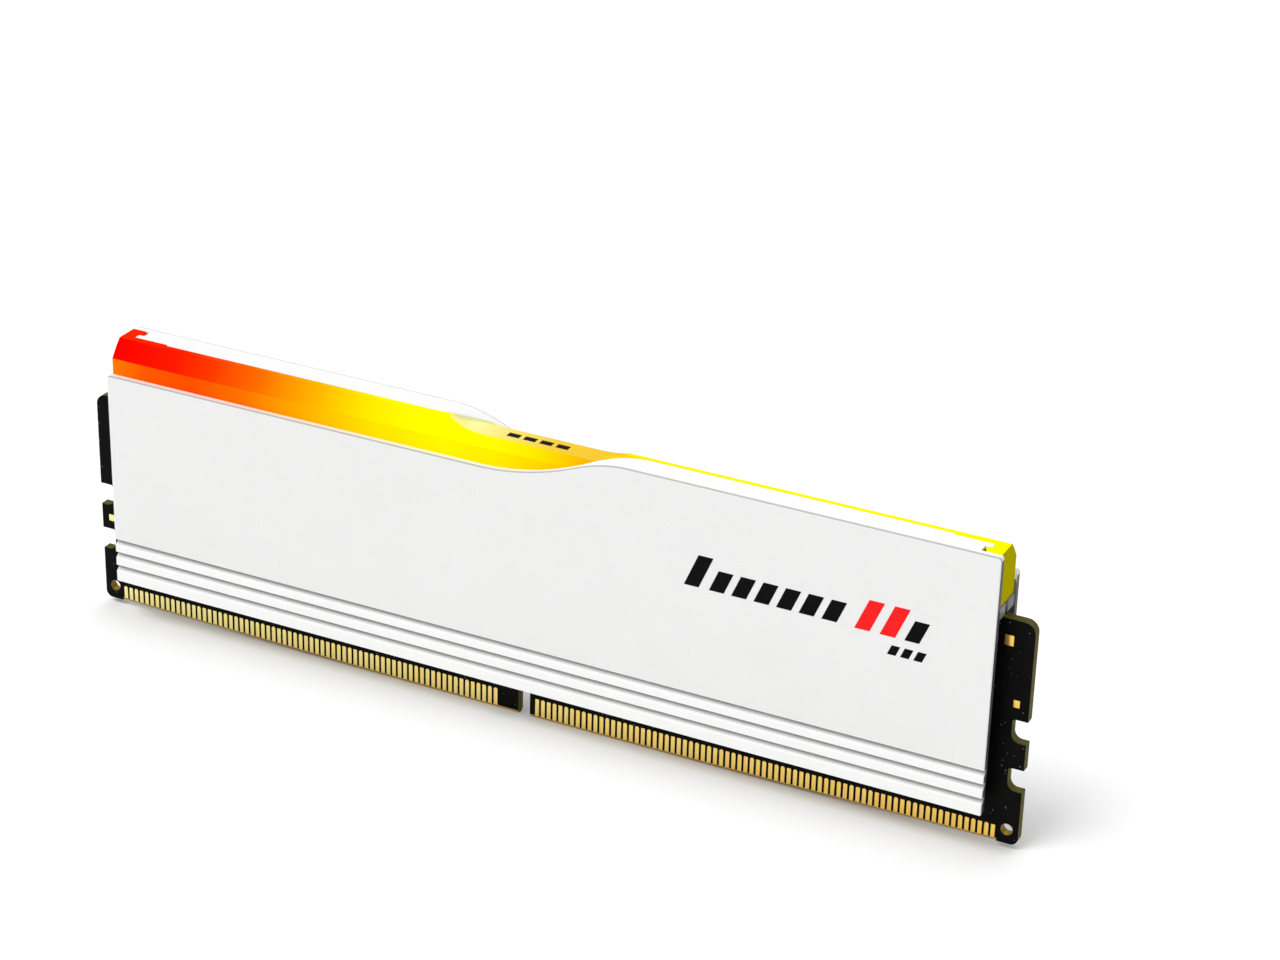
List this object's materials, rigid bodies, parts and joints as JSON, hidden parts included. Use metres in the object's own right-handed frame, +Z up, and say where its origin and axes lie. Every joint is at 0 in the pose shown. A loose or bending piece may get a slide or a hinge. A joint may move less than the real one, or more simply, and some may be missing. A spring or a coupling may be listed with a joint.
{
  "type": "memory module",
  "caption": "Desktop computer memory module with a gold card edge, white finned heat spreaders on both faces and a wave-shaped light bar along the top.",
  "frame": {"origin": "middle of the card edge's lowest line, halfway through the board", "axes": "+X along the module, the face with the memory chips looks along -Y, +Z up from the card edge to the light bar"},
  "size_m": [0.1334, 0.0072, 0.0404],
  "materials": {
    "solder_mask": "black solder mask over glass-epoxy board",
    "gold": "gold-plated copper",
    "chip_epoxy": "moulded epoxy",
    "inductor_body": "pressed ferrite",
    "capacitor_ceramic": "fired ceramic with tinned ends",
    "led_housing": "white moulded housing",
    "white_paint": "fine-grained white paint on aluminium",
    "thermal_pad": "soft gap filler",
    "diffuser": "milky diffuser, lit from below",
    "dark_ink": "pad-printed ink",
    "red_ink": "pad-printed ink"
  },
  "bodies": {
    "root": {"circuit_board": "solder_mask", "contacts_front": "gold", "contacts_rear": "gold", "test_pads": "gold", "dram_chip_1": "chip_epoxy", "dram_chip_2": "chip_epoxy", "dram_chip_3": "chip_epoxy", "dram_chip_4": "chip_epoxy", "dram_chip_5": "chip_epoxy", "dram_chip_6": "chip_epoxy", "dram_chip_7": "chip_epoxy", "dram_chip_8": "chip_epoxy", "power_management_chip": "chip_epoxy", "spd_hub_chip": "chip_epoxy", "light_controller_chip": "chip_epoxy", "series_resistors": "chip_epoxy", "power_inductor_1": "inductor_body", "power_inductor_2": "inductor_body", "power_inductor_3": "inductor_body", "bulk_capacitors": "capacitor_ceramic", "decoupling_capacitors_front": "capacitor_ceramic", "decoupling_capacitors_rear": "capacitor_ceramic", "rgb_led_1": "led_housing", "rgb_led_2": "led_housing", "rgb_led_3": "led_housing", "rgb_led_4": "led_housing", "rgb_led_5": "led_housing", "rgb_led_6": "led_housing", "rgb_led_7": "led_housing", "rgb_led_8": "led_housing", "front_heat_spreader": "white_paint", "rear_heat_spreader": "white_paint", "front_thermal_pad_left": "thermal_pad", "front_thermal_pad_right": "thermal_pad", "power_gap_pad": "thermal_pad", "rear_thermal_pad_left": "thermal_pad", "rear_thermal_pad_right": "thermal_pad", "light_bar": "diffuser", "light_bar_mark": "dark_ink", "front_print_dark": "dark_ink", "rear_print_dark": "dark_ink", "front_print_accent": "red_ink", "rear_print_accent": "red_ink"}
  },
  "joints": []
}
